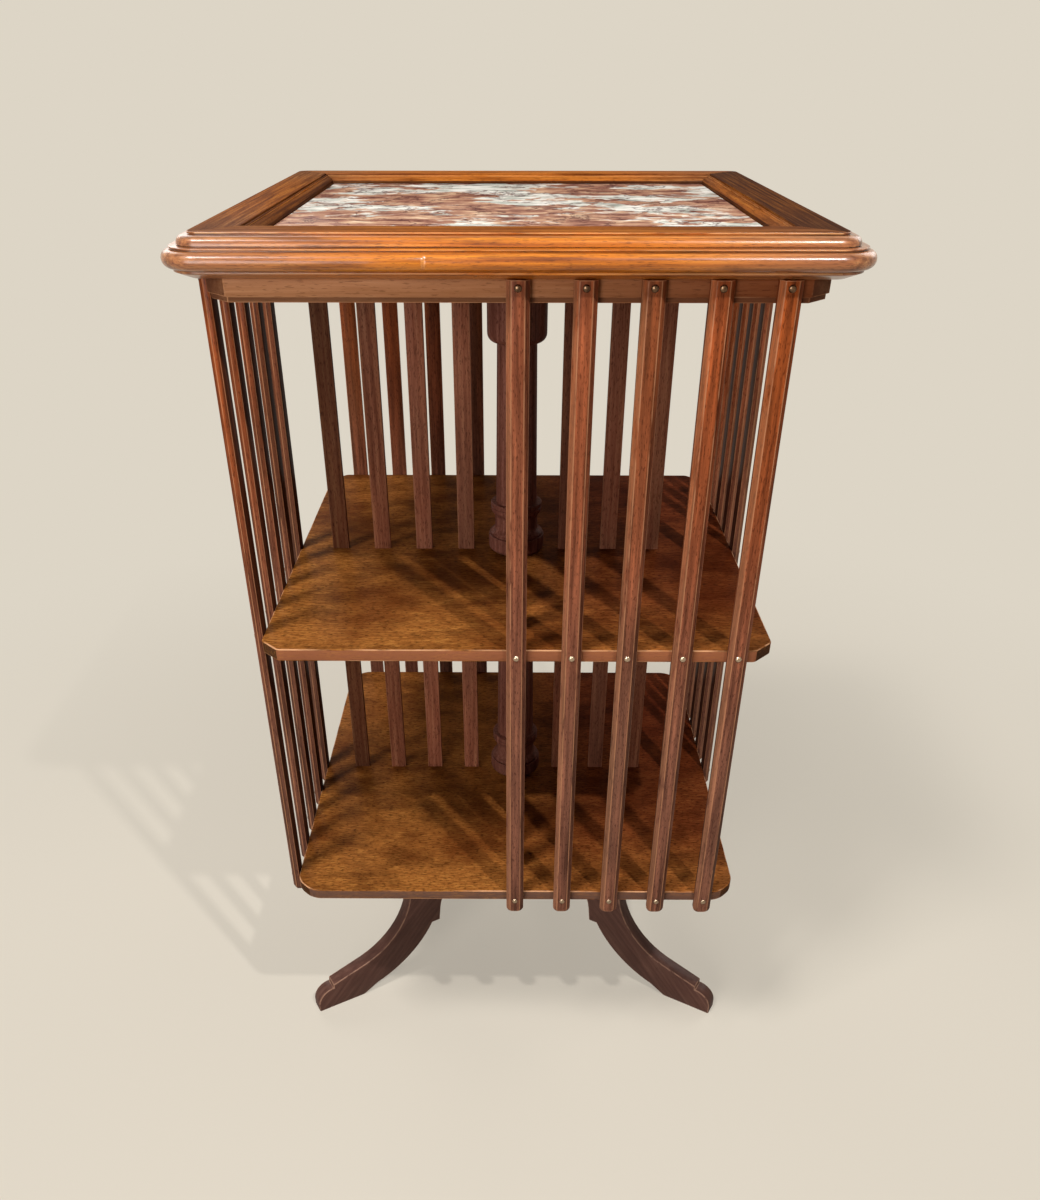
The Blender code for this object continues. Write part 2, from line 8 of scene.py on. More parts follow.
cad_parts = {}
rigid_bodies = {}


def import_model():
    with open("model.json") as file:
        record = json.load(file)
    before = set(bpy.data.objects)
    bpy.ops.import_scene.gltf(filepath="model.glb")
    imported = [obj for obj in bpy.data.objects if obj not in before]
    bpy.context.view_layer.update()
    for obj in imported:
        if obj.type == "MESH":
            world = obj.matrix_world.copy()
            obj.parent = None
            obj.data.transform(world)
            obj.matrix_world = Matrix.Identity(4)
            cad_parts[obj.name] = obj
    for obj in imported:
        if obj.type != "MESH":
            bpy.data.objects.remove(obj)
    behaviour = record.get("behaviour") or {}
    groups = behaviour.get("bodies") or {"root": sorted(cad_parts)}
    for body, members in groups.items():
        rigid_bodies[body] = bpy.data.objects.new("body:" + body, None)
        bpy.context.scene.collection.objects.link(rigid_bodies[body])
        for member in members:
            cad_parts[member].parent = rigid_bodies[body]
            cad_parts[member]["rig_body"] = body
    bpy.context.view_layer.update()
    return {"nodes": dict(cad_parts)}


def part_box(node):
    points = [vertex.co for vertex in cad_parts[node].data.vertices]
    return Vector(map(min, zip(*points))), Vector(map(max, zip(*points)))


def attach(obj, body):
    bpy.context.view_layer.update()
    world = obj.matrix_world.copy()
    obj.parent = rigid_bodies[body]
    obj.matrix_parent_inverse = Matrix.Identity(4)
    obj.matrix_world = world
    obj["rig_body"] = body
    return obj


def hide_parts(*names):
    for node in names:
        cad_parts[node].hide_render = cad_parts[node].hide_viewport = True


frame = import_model()

sides = ("front", "right", "rear", "left")
quarter = math.pi / 2
tiny = 1e-6
marbleLow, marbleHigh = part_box("marble_panel")
axisX, axisY = (marbleLow.x + marbleHigh.x) / 2, (marbleLow.y + marbleHigh.y) / 2
onAxis = Matrix.Translation((axisX, axisY, 0))  # the line that the case turns about
sharpFrom = math.radians(35)  # edges that bend less are shaded smooth
boardStep = Vector((0.731, 0.377, 0.593))  # between the stretches of board that pieces are cut from
lyingGrain = Matrix.Identity(3)  # grain runs along a piece's own X
standingGrain = Matrix.Rotation(quarter, 3, "Y")  # grain runs up the piece
bpy.context.scene.view_settings.view_transform = "Standard"


def linear(hexColour):
    channels = [int(hexColour[start:start + 2], 16) / 255 for start in (1, 3, 5)]
    return [c / 12.92 if c <= 0.04045 else ((c + 0.055) / 1.055) ** 2.4 for c in channels] + [1.0]


def addNode(tree, kind, inputs=None, stops=None, **settings):
    node = tree.nodes.new(kind)
    for name, value in settings.items():
        setattr(node, name, value)
    for socket, value in (inputs or {}).items():
        if isinstance(value, bpy.types.NodeSocket):
            tree.links.new(value, node.inputs[socket])
        else:
            node.inputs[socket].default_value = value
    if stops:
        elements = node.color_ramp.elements
        while len(elements) < len(stops):
            elements.new(1.0)
        for element, (position, colour) in zip(elements, stops):
            element.position = position
            element.color = linear(colour)
    return node


def startMaterial(name):
    material = bpy.data.materials.new(name)
    material.use_nodes = True
    material.node_tree.nodes.clear()
    return material, material.node_tree


wood = {
    "noiseRoughness": 0.6,
    "darkeningSpread": (0.35, 0.65),  # of the figure, where the darkening thins: old polish, and painted shade
    "darkeningThin": 0.78,
    "rubSpread": 0.2,
    "dullSpread": (0.3, 0.7),
    "poreDepth": 0.0004,
    "ior": 1.5,
}


def woodMaterial(name, look):
    material, tree = startMaterial(name)
    grain = addNode(tree, "ShaderNodeAttribute", attribute_name="grain").outputs["Vector"]
    patterns = {}
    for pattern, (along, across, detail) in look["patterns"].items():  # sizes in mm
        scale = (1000 / along, 1000 / across, 1000 / across)
        spread = addNode(tree, "ShaderNodeMapping", {"Vector": grain, "Scale": scale})
        noise = addNode(
            tree, "ShaderNodeTexNoise",
            {
                "Vector": spread.outputs[0], "Scale": 1.0, "Detail": detail,
                "Roughness": wood["noiseRoughness"],
            },
        )
        patterns[pattern] = noise.outputs["Fac"]
    figure = addNode(tree, "ShaderNodeValToRGB", {"Fac": patterns["figure"]}, look["figure"])
    colour = figure.outputs["Color"]
    for pattern, stain, low, high, share in look["stains"]:
        amount = addNode(
            tree, "ShaderNodeMapRange",
            {"Value": patterns[pattern], "From Min": low, "From Max": high, "To Max": share},
            interpolation_type="SMOOTHSTEP",
        )
        mixed = addNode(
            tree, "ShaderNodeMix", {0: amount.outputs[0], 6: colour, 7: linear(stain)}, data_type="RGBA"
        )
        colour = mixed.outputs[2]
    if look["tints"]:  # the colour drifts along a piece between two tints: painted light and shade on the shelves, frieze and slats, tone with a painted sheen at the rails' ends, uneven stain on the dividers
        lighterPick, darkerPick = look["tints"]
        shade = addNode(tree, "ShaderNodeAttribute", attribute_name="shade").outputs["Fac"]
        tint = addNode(
            tree, "ShaderNodeMix", {0: shade, 6: linear(lighterPick), 7: linear(darkerPick)}, data_type="RGBA"
        )
        mixed = addNode(
            tree, "ShaderNodeMix", {0: 1.0, 6: colour, 7: tint.outputs[2]},
            data_type="RGBA", blend_type="MULTIPLY",
        )
        colour = mixed.outputs[2]
    # below zero, the value mixes in a darker colour: old dark polish and the shelves' sawn edges, and
    # painted shade on the rail flats and inner moulding, along the marble, on the frieze's corners and
    # fillet, the shelves' clipped corners and the slats' right sides and backs
    wearAndShading = addNode(tree, "ShaderNodeAttribute", attribute_name="wearAndShading").outputs["Fac"]
    darkening = addNode(tree, "ShaderNodeMapRange", {"Value": wearAndShading, "From Min": 0.0, "From Max": -1.0})
    low, high = wood["darkeningSpread"]
    thick = addNode(
        tree, "ShaderNodeMapRange",
        {
            "Value": patterns["figure"], "From Min": low, "From Max": high,
            "To Min": 1.0, "To Max": wood["darkeningThin"],
        },
    )
    darkening = addNode(
        tree, "ShaderNodeMath", {0: darkening.outputs[0], 1: thick.outputs[0]}, operation="MULTIPLY"
    )
    mixed = addNode(
        tree, "ShaderNodeMix", {0: darkening.outputs[0], 6: colour, 7: linear(look["darkeningColour"])},
        data_type="RGBA",
    )
    colour = mixed.outputs[2]
    # above zero, the colour goes pale in patches: worn arrises and a knock, and painted light on one chamfer
    # of each slat and along the moulding's upright lines
    patchy = addNode(
        tree, "ShaderNodeMapRange",
        {
            "Value": patterns["rub"], "From Min": look["paledFrom"],
            "From Max": look["paledFrom"] + wood["rubSpread"], "To Max": look["paledShare"],
        },
        interpolation_type="SMOOTHSTEP",
    )
    paled = addNode(tree, "ShaderNodeMath", {0: wearAndShading, 1: patchy.outputs[0]}, operation="MULTIPLY")
    mixed = addNode(
        tree, "ShaderNodeMix", {0: paled.outputs[0], 6: colour, 7: linear(look["paledColour"])},
        data_type="RGBA",
    )
    low, high = wood["dullSpread"]
    smooth, dull = look["roughness"]
    roughness = addNode(
        tree, "ShaderNodeMapRange",
        {"Value": patterns["rub"], "From Min": low, "From Max": high, "To Min": smooth, "To Max": dull},
    )
    bump = addNode(
        tree, "ShaderNodeBump",
        {"Height": patterns["pores"], "Strength": look["bump"], "Distance": wood["poreDepth"]},
    )
    shader = addNode(
        tree, "ShaderNodeBsdfPrincipled",
        {
            "Base Color": mixed.outputs[2],
            "Roughness": roughness.outputs[0],
            "Normal": bump.outputs[0],
            "IOR": wood["ior"],
            "Specular IOR Level": look["specular"],
            "Coat Weight": look["coat"],
            "Coat Roughness": look["coatRoughness"],
        },
    )
    addNode(tree, "ShaderNodeOutputMaterial", {"Surface": shader.outputs[0]})
    return material


# French-polished mahogany: orange-brown, short dark pores along each rail, bright gloss on the mouldings
topLook = {
    "patterns": {
        "figure": (150, 2.2, 5.0),
        "tone": (80, 6, 4.0),
        "pores": (7, 0.65, 2.0),  # real pores are 0.3 mm wide, too fine to show
        "rub": (40, 9, 3.0),
    },
    "figure": [(0.3, "#8e4b30"), (0.5, "#c57647"), (0.7, "#dd935d")],
    "stains": [("tone", "#6c3412", 0.46, 0.68, 0.7), ("pores", "#4c220c", 0.54, 0.66, 0.55)],
    # tints: orange middles, greyer ends, the grey partly a painted sheen
    "tints": ("#ffed69", "#d8e4e6"),
    "darkeningColour": "#371d12",
    "paledColour": "#dda468", "paledFrom": 0.35, "paledShare": 0.8,
    "roughness": (0.26, 0.4), "bump": 0.2, "specular": 0.2, "coat": 0.7, "coatRoughness": 0.24,
}
topWood = woodMaterial("mahoganyFrenchPolished", topLook)
# the flats are dulled by wiping and keep only a thin gloss
flatWood = woodMaterial(
    "mahoganyPolishDulled",
    # the same tints, the greyer ends partly a painted sheen
    {**topLook, "tints": ("#fff2a0", "#d4dedc"), "specular": 0.0, "coat": 0.06, "coatRoughness": 0.25},
)

# Stained and shellacked mahogany strip: red-brown, dark pores up the slat, arrises rubbed pale
slatLook = {
    "patterns": {
        "figure": (90, 3.2, 3.0),
        "tone": (420, 60, 2.0),
        "pores": (5, 0.9, 2.0),
        "rub": (30, 5, 3.0),
    },
    "figure": [(0.28, "#5c3224"), (0.5, "#8b503c"), (0.72, "#b86c50")],
    "stains": [("tone", "#5c4234", 0.46, 0.7, 0.5), ("pores", "#36150c", 0.54, 0.66, 0.55)],
    # tints: painted light, orange at the tops and grey at the feet
    "tints": ("#ffd890", "#cae4f0"),
    "darkeningColour": "#3c2016",
    "paledColour": "#b27c58", "paledFrom": 0.3, "paledShare": 0.62,
    "roughness": (0.36, 0.5), "bump": 0.12, "specular": 0.0, "coat": 0.14, "coatRoughness": 0.28,
}
slatWood = woodMaterial("mahoganyStained", slatLook)
# the dividers are the same strip, painted paler to stand in for light the inside of the case lacks
dividerWood = woodMaterial("mahoganyStainedPaledForLight", {
    **slatLook, "figure": [(0.25, "#74402c"), (0.5, "#9a5c44"), (0.75, "#b67858")],
    "tints": ("#ffffff", "#c2c8bc"),
})
# the columns are turned from the same wood and took the stain darker
columnWood = woodMaterial("mahoganyTurnedStained", {
    **slatLook, "figure": [(0.25, "#5a3228"), (0.5, "#7a4a3c"), (0.75, "#946050")], "tints": None,
    "coat": 0.1,
})

# Waxed mahogany board: golden brown, short straight grain, cloudy dark patches where books stood
shelfLook = {
    "patterns": {
        "figure": (13, 1.6, 4.0),
        "tone": (60, 34, 5.0),
        "cloud": (130, 100, 4.0),
        "pores": (5, 1.3, 2.0),
        "rub": (60, 14, 3.0),
    },
    "figure": [(0.25, "#7c4824"), (0.5, "#a06538"), (0.75, "#c4884e")],
    "stains": [
        ("tone", "#522c16", 0.43, 0.68, 0.68), ("cloud", "#5e2d15", 0.44, 0.68, 0.7),
        ("pores", "#3a1d0c", 0.52, 0.62, 0.65),
    ],
    # tints: painted light and shade, gold where lit and red where shaded
    "tints": ("#f4efca", "#c49298"),
    "darkeningColour": "#91593e",  # the sawn edges faded pinker
    "paledColour": "#d9a277", "paledFrom": 0.4, "paledShare": 0.75,
    "roughness": (0.36, 0.5), "bump": 0.12, "specular": 0.0, "coat": 0.04, "coatRoughness": 0.3,
}
shelfWood = woodMaterial("mahoganyWaxed", shelfLook)
# the bottom shelf's edges kept a darker, greyer stain
lowShelfWood = woodMaterial("mahoganyWaxedDarkEdge", {**shelfLook, "darkeningColour": "#62493f"})
# the clipped corners are coloured nearly black: painted shade
cornerShadeWood = woodMaterial("mahoganyWaxedCornerShade", {**shelfLook, "darkeningColour": "#38261c"})

# The same mahogany on the frieze, painted paler to stand in for the light under the top's overhang; greyer,
# with an even straight grain
friezeWood = woodMaterial("mahoganyPaledForLight", {
    "patterns": {
        "figure": (140, 4, 3.0),
        "tone": (180, 40, 2.0),
        "pores": (9, 1.1, 2.0),
        "rub": (60, 10, 3.0),
    },
    "figure": [(0.25, "#9a643e"), (0.5, "#b57d56"), (0.75, "#c69068")],
    "stains": [("tone", "#8c5a3c", 0.5, 0.72, 0.5), ("pores", "#6a4028", 0.57, 0.67, 0.5)],
    # tints: painted shade, darker behind the slats
    "tints": ("#ffffff", "#a88878"),
    "darkeningColour": "#5a3624",
    "paledColour": "#c8966e", "paledFrom": 0.4, "paledShare": 0.5,
    "roughness": (0.42, 0.55), "bump": 0.12, "specular": 0.0, "coat": 0.08, "coatRoughness": 0.35,
})

# Dark-stained beech, hand polished: cool brown, close grain, arrises rubbed back to pale wood
baseWood = woodMaterial("beechDarkStained", {
    "patterns": {
        "figure": (70, 5, 2.0),
        "tone": (90, 40, 2.0),
        "pores": (6, 1.0, 2.0),
        "rub": (25, 6, 3.0),
    },
    "figure": [(0.25, "#4c312a"), (0.5, "#593b32"), (0.75, "#66473c")],
    "stains": [("tone", "#3c2620", 0.5, 0.75, 0.5), ("pores", "#2e1a14", 0.58, 0.68, 0.25)],
    "tints": None,
    "darkeningColour": "#3a251e",
    "paledColour": "#a88068", "paledFrom": 0.3, "paledShare": 0.55,
    "roughness": (0.38, 0.5), "bump": 0.1, "specular": 0.0, "coat": 0.25, "coatRoughness": 0.3,
})
print("woods made")


def marbleMaterial(look):
    material, tree = startMaterial("brecciaMarblePolished")
    place = addNode(tree, "ShaderNodeTexCoord").outputs["Object"]
    patterns = {}
    for pattern, (along, across, detail) in look["patterns"].items():  # sizes in mm, along X and across it
        scale = (1000 / along, 1000 / across, 1000 / across)
        spread = addNode(tree, "ShaderNodeMapping", {"Vector": place, "Scale": scale})
        source = spread.outputs[0]
        if pattern != "bend":
            pulled = addNode(
                tree, "ShaderNodeVectorMath",
                {0: patterns["bend"].outputs["Color"], "Scale": look["pull"]}, operation="SCALE",
            )
            source = addNode(tree, "ShaderNodeVectorMath", {0: source, 1: pulled.outputs[0]}).outputs[0]
        patterns[pattern] = addNode(
            tree, "ShaderNodeTexNoise",
            {"Vector": source, "Scale": 1.0, "Detail": detail, "Roughness": look["noiseRoughness"]},
        )
    streaks = patterns["streaks"].outputs["Fac"]
    tan = addNode(tree, "ShaderNodeValToRGB", {"Fac": streaks}, look["tan"])
    pale = addNode(tree, "ShaderNodeValToRGB", {"Fac": streaks}, look["pale"])
    low, high = look["edge"]
    where = addNode(
        tree, "ShaderNodeMapRange",
        {"Value": patterns["patches"].outputs["Fac"], "From Min": low, "From Max": high},
    )
    colour = addNode(
        tree, "ShaderNodeMix", {0: where.outputs[0], 6: tan.outputs[0], 7: pale.outputs[0]}, data_type="RGBA"
    )
    middle = addNode(
        tree, "ShaderNodeMath", {0: patterns["veins"].outputs["Fac"], 1: look["veinLevel"]},
        operation="SUBTRACT",
    )
    off = addNode(tree, "ShaderNodeMath", {0: middle.outputs[0]}, operation="ABSOLUTE")
    low, high = look["veinSpread"]
    vein = addNode(
        tree, "ShaderNodeMapRange",
        {
            "Value": off.outputs[0], "From Min": low, "From Max": high,
            "To Min": look["veinShare"], "To Max": 0.0,
        },
    )
    veined = addNode(
        tree, "ShaderNodeMix", {0: vein.outputs[0], 6: colour.outputs[2], 7: linear(look["vein"])},
        data_type="RGBA",
    )
    shader = addNode(
        tree, "ShaderNodeBsdfPrincipled",
        {
            "Base Color": veined.outputs[2],
            "Roughness": look["roughness"],
            "Specular IOR Level": look["specular"],
            "Coat Weight": look["coat"],
            "Coat Roughness": look["coatRoughness"],
        },
    )
    addNode(tree, "ShaderNodeOutputMaterial", {"Surface": shader.outputs[0]})
    return material


metal = {"detail": 4.0, "spread": (0.35, 0.65)}


def metalMaterial(name, look):
    material, tree = startMaterial(name)
    place = addNode(tree, "ShaderNodeTexCoord").outputs["Object"]
    tarnish = addNode(
        tree, "ShaderNodeTexNoise",
        {"Vector": place, "Scale": 1000 / look["blotch"], "Detail": metal["detail"]},  # a blotch is in mm
    )
    stops = list(zip(metal["spread"], (look["dark"], look["bright"])))
    colour = addNode(tree, "ShaderNodeValToRGB", {"Fac": tarnish.outputs["Fac"]}, stops).outputs[0]
    if "paled" in look:
        wearAndShading = addNode(tree, "ShaderNodeAttribute", attribute_name="wearAndShading").outputs["Fac"]
        mixed = addNode(
            tree, "ShaderNodeMix", {0: wearAndShading, 6: colour, 7: linear(look["paled"])}, data_type="RGBA"
        )
        colour = mixed.outputs[2]
    smooth, dull = look["roughness"]
    roughness = addNode(
        tree, "ShaderNodeMapRange", {"Value": tarnish.outputs["Fac"], "To Min": smooth, "To Max": dull}
    )
    shader = addNode(
        tree, "ShaderNodeBsdfPrincipled",
        {"Base Color": colour, "Roughness": roughness.outputs[0], "Metallic": 1.0},
    )
    addNode(tree, "ShaderNodeOutputMaterial", {"Surface": shader.outputs[0]})
    return material


# Polished breccia marble: white and grey-green streaks broken into tan and pink, with thin mauve veins
marbleStone = marbleMaterial({
    "patterns": {
        "bend": (70, 60, 3.0),  # bends the others, so it stands first
        "patches": (84, 60, 6.0),
        "streaks": (29, 15, 6.0),
        "veins": (64, 42, 6.0),
    },
    "noiseRoughness": 0.62,
    "pull": 1.3,
    "tan": [(0.32, "#603a32"), (0.45, "#9a6a58"), (0.57, "#c39778"), (0.7, "#e4c8a8")],
    "pale": [(0.32, "#909388"), (0.44, "#c4c3b6"), (0.54, "#e8e2d6"), (0.7, "#f6f0e6")],
    "edge": (0.5, 0.54),
    "vein": "#5a3634", "veinLevel": 0.5, "veinSpread": (0.004, 0.026), "veinShare": 0.85,
    "roughness": 0.3, "specular": 0.0, "coat": 0.08, "coatRoughness": 0.12,
})
# Forged iron left black from the fire: dull, faintly brown where it has rusted
blackIron = metalMaterial("ironBlackened", {
    "blotch": 9, "dark": "#2c2622", "bright": "#4b443e", "roughness": (0.45, 0.7),
})
# Turned brass gone dull in the air: yellow where it rubs, brown between
dullBrass = metalMaterial("brassTurned", {
    "blotch": 12, "dark": "#7d5f2c", "bright": "#c29a4e", "roughness": (0.3, 0.5),
})
# Domed steel screw heads gone bronze-brown; the lower rows are painted pale as a painted highlight
screwSteel = metalMaterial("steelBrowned", {
    "blotch": 3, "dark": "#4a3527", "bright": "#7a5f48", "paled": "#b9a48c", "roughness": (0.2, 0.35),
})
print("stone and metals made")


def startShape():
    bm = bmesh.new()
    bm.faces.layers.float.new("wearAndShading")
    return bm


def block(width, depth, height):
    bm = startShape()
    bmesh.ops.create_cube(bm, size=1.0, matrix=Matrix.Diagonal((width, depth, height, 1.0)))
    return bm


def drawOutline(bm, moves, steps, closed=True):
    # a move is a point (x, z), a corner to round (x, z, size) or ("turn", centre x, centre z, degrees)
    first = last = None
    rounds = []
    for move in moves:
        if move[0] == "turn":
            turned = bmesh.ops.spin(
                bm, geom=[last], cent=(move[1], 0, move[2]), axis=(0, -1, 0),
                angle=math.radians(move[3]), steps=steps,
            )
            last = turned["geom_last"][0]
            continue
        vert = bm.verts.new((move[0], 0, move[1]))
        if last:
            bm.edges.new((last, vert))
        first = first or vert
        last = vert
        if len(move) == 3:
            rounds.append((vert, move[2]))
    if closed:
        bm.edges.new((last, first))
    for vert, size in rounds:
        bmesh.ops.bevel(
            bm, geom=[vert], offset=size, offset_type="OFFSET", segments=steps, profile=0.5,
            affect="VERTICES", material=-1,
        )


def vertsOf(geom):
    return [g for g in geom if isinstance(g, bmesh.types.BMVert)]


def extrudeLoop(bm, loop, vec):
    made = bmesh.ops.extrude_edge_only(bm, edges=loop)["geom"]
    moved = vertsOf(made)
    bmesh.ops.translate(bm, vec=vec, verts=moved)
    return [g for g in made if isinstance(g, bmesh.types.BMEdge) and all(v in moved for v in g.verts)]


def sharpEdges(bm, degrees):
    return [e for e in bm.edges if len(e.link_faces) == 2 and e.calc_face_angle() > math.radians(degrees)]


def uprightEdges(bm):
    return [e for e in bm.edges if abs(e.verts[0].co.z - e.verts[1].co.z) > tiny]


def easeEdges(bm, edges, size, steps=2, worn=0.0):
    eased = bmesh.ops.bevel(
        bm, geom=edges, offset=size, offset_type="OFFSET", segments=steps, profile=0.5,
        affect="EDGES", material=-1,
    )
    wearAndShading = bm.faces.layers.float["wearAndShading"]
    for face in eased["faces"]:
        face[wearAndShading] = worn


def turnedShape(moves, steps, closed, rounds=64):
    bm = startShape()
    drawOutline(bm, moves, steps, closed)
    bmesh.ops.spin(
        bm, geom=bm.verts[:] + bm.edges[:], cent=(0, 0, 0), axis=(0, 0, 1), angle=math.tau,
        steps=rounds, use_merge=True,
    )
    bmesh.ops.remove_doubles(bm, verts=bm.verts, dist=tiny)
    return bm


def keepPiece(name, bm, finishes, node, place, grainTurn=lyingGrain, stretch=0, shade=None):
    bmesh.ops.recalc_face_normals(bm, faces=bm.faces)
    grain = bm.verts.layers.float_vector.new("grain")
    shift = boardStep * stretch  # each piece is cut from its own stretch of board
    for vert in bm.verts:
        vert[grain] = grainTurn @ vert.co + shift
    if shade:
        shadeLayer = bm.verts.layers.float.new("shade")
        for vert in bm.verts:
            vert[shadeLayer] = shade(vert.co)
    bmesh.ops.transform(bm, matrix=place, verts=bm.verts)
    mesh = bpy.data.meshes.new(name)
    bm.to_mesh(mesh)
    bm.free()
    for finish in finishes:
        mesh.materials.append(finish)
    mesh.shade_smooth()
    mesh.set_sharp_from_angle(angle=sharpFrom)
    piece = bpy.data.objects.new(name, mesh)
    bpy.context.scene.collection.objects.link(piece)
    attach(piece, frame["nodes"][node]["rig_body"])
    return piece


def sideTurn(side):
    return Matrix.Rotation(sides.index(side) * quarter, 4, "Z")


def axisAt(height):
    return onAxis @ Matrix.Translation((0, 0, height))


def cutAcross(bm, places, normal):
    for place in places:
        bmesh.ops.bisect_plane(
            bm, geom=bm.verts[:] + bm.edges[:] + bm.faces[:], dist=tiny,
            plane_co=Vector(normal) * place, plane_no=normal,
        )


def rise(value, low, high):
    share = min(max((value - low) / (high - low), 0.0), 1.0)
    return share * share * (3 - 2 * share)


# four mitred rails round the marble
rail = {
    "corner": 0.028,  # radius of the outer corner in plan
    "mitreGap": 0.00012,
    "near": 0.0002,  # faces this close to a line of the profile belong to it
    "flat": 0.99,
    "steep": 0.2,
    "steps": 8,
    # in from the widest edge, down from the top, size of the round
    "profile": [
        (0.0580, 0.0280), (0.0580, 0.0024, 0.0054), (0.0520, 0.0024), (0.0520, 0.0010, 0.0008),
        (0.0502, 0.0010, 0.0008), (0.0502, 0.0022), (0.0495, 0.0022), (0.0495, 0.0, 0.0005), (0.0280, 0.0),
        (0.0192, 0.0, 0.0004), (0.0192, 0.0013, 0.0004), (0.0202, 0.0015), (0.0202, 0.0019),
        (0.0112, 0.0019, 0.0054), (0.0112, 0.0075), (0.0128, 0.0077), (0.0128, 0.0082),
        (0.0058, 0.0084, 0.0003), (0.0058, 0.0093, 0.0003),
        (0.0078, 0.0096), (0.0078, 0.0103), (0.0, 0.0103, 0.0056), (0.0, 0.0217, 0.0056), (0.0074, 0.0217),
        (0.0074, 0.0221), (0.0068, 0.0223, 0.0003), (0.0068, 0.0238, 0.0003), (0.0178, 0.0280),
        (0.0280, 0.0280),
    ],
    "darkening": {"front": 0.55, "right": 1.0, "rear": 0.22, "left": 0.62},  # darkening on the flats: old polish, and painted shade that differs by side
    "innerDarkening": {"front": 0.45, "right": 0.55, "rear": 0.3, "left": 0.8},  # and on the inner moulding, also painted shade by side
    "innerFrom": 0.0495,
    # upright lines of the moulding, in from the widest edge, made paler: worn, with a painted highlight
    "paled": {0.0520: 0.45, 0.0192: 0.9, 0.0058: 0.7, 0.0068: 0.4},
    "creaseDarkFrom": 0.0577,  # the foot of the inner moulding, dark along the marble: dirt and painted contact shade
    "cuts": (0.06, 0.1, 0.13, 0.16, 0.19),
    "changeOver": (0.06, 0.23),  # from the middle of the rail, where its colour changes
    "dent": {
        "side": "front", "along": -0.062, "half": 0.0015, "deep": 0.0007, "reach": 0.0022, "wearAndShading": 0.35,
    },
}


def railShape(side):
    low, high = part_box("top_rail_front")
    half = axisY - low.y
    centre = half - rail["corner"]
    bm = startShape()
    moves = [(half - move[0], high.z - move[1], *move[2:]) for move in rail["profile"]]
    drawOutline(bm, moves, rail["steps"])
    stand = Matrix.Translation((-centre, 0, 0)) @ Matrix.Rotation(-quarter, 4, "Z")
    bmesh.ops.transform(bm, matrix=stand, verts=bm.verts)
    loop = bm.edges[:]
    for end in (-1, 1):  # the moulding turns half the corner at each end of the straight
        outer = [e for e in loop if all(v.co.y < tiny - centre for v in e.verts)]
        corner = list({v for e in outer for v in e.verts})
        bmesh.ops.spin(
            bm, geom=corner + outer, cent=(end * centre, -centre, 0), axis=(0, 0, 1),
            angle=end * quarter / 2, steps=rail["steps"],
        )
        if end < 0:
            loop = extrudeLoop(bm, loop, (2 * centre, 0, 0))
    bmesh.ops.remove_doubles(bm, verts=bm.verts, dist=tiny)
    for end in (-1, 1):
        outwards = Vector((end, 1, 0)).normalized()
        bmesh.ops.bisect_plane(
            bm, geom=bm.verts[:] + bm.edges[:] + bm.faces[:], dist=tiny,
            plane_co=-outwards * rail["mitreGap"], plane_no=outwards, clear_outer=True,
        )
        bmesh.ops.holes_fill(bm, edges=[e for e in bm.edges if e.is_boundary], sides=0)
    bmesh.ops.recalc_face_normals(bm, faces=bm.faces)
    wearAndShading = bm.faces.layers.float["wearAndShading"]
    for face in bm.faces:
        spot = face.calc_center_median()
        topFlat = face.normal.z > rail["flat"] and spot.z > high.z - rail["near"]
        # flats and inner moulding darkened: old polish and painted shade
        if spot.y > tiny - centre or topFlat:
            darkerPick = "innerDarkening" if spot.y + half > rail["innerFrom"] else "darkening"
            face[wearAndShading] = -rail[darkerPick][side]
            face.material_index = 1
        for inset, rub in rail["paled"].items():
            if abs(face.normal.z) < rail["steep"] and abs(spot.y + half - inset) < rail["near"]:
                face[wearAndShading] = rub
        # painted contact shade and dirt along the marble
        if spot.y + half > rail["creaseDarkFrom"]:
            face[wearAndShading] = -1.0
    return bm


def dentBullnose(bm):
    # a small knock that shows bare wood
    dent = rail["dent"]
    cutAcross(bm, [dent["along"] + step * dent["half"] for step in (-1, 0, 1)], (1, 0, 0))
    inner = min(v.co.y for v in bm.verts) + dent["reach"]
    knocked = [v for v in bm.verts if abs(v.co.x - dent["along"]) < tiny and v.co.y < inner]
    bmesh.ops.translate(bm, vec=(0, dent["deep"], 0), verts=knocked)
    wearAndShading = bm.faces.layers.float["wearAndShading"]
    for face in {f for v in knocked for f in v.link_faces}:
        if all(v.co.y < inner for v in face.verts):
            face[wearAndShading] = dent["wearAndShading"]


def railShade(spot):
    return rise(abs(spot.x), *rail["changeOver"])  # tone: deep orange in the middles, browner towards the ends, where the greyer tint is partly a painted sheen


for number, side in enumerate(sides):
    node = "top_rail_" + side
    bm = railShape(side)
    cutAcross(bm, [end * cut for end in (-1, 1) for cut in rail["cuts"]], (1, 0, 0))
    if side == rail["dent"]["side"]:
        dentBullnose(bm)
    piece = keepPiece(
        "topRail_" + side, bm, [topWood, flatWood], node, onAxis @ sideTurn(side),
        stretch=number + 1, shade=railShade,
    )
    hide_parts(node)
print("top rails made")


marble = {"arris": 0.0008}


def buildMarble():
    size = marbleHigh - marbleLow
    bm = block(*size)
    easeEdges(bm, [e for e in bm.edges if all(v.co.z > 0 for v in e.verts)], marble["arris"])
    place = Matrix.Translation((marbleLow + marbleHigh) / 2)
    piece = keepPiece("marblePanel", bm, [marbleStone], "marble_panel", place)
    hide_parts("marble_panel")


buildMarble()
print("marble made")


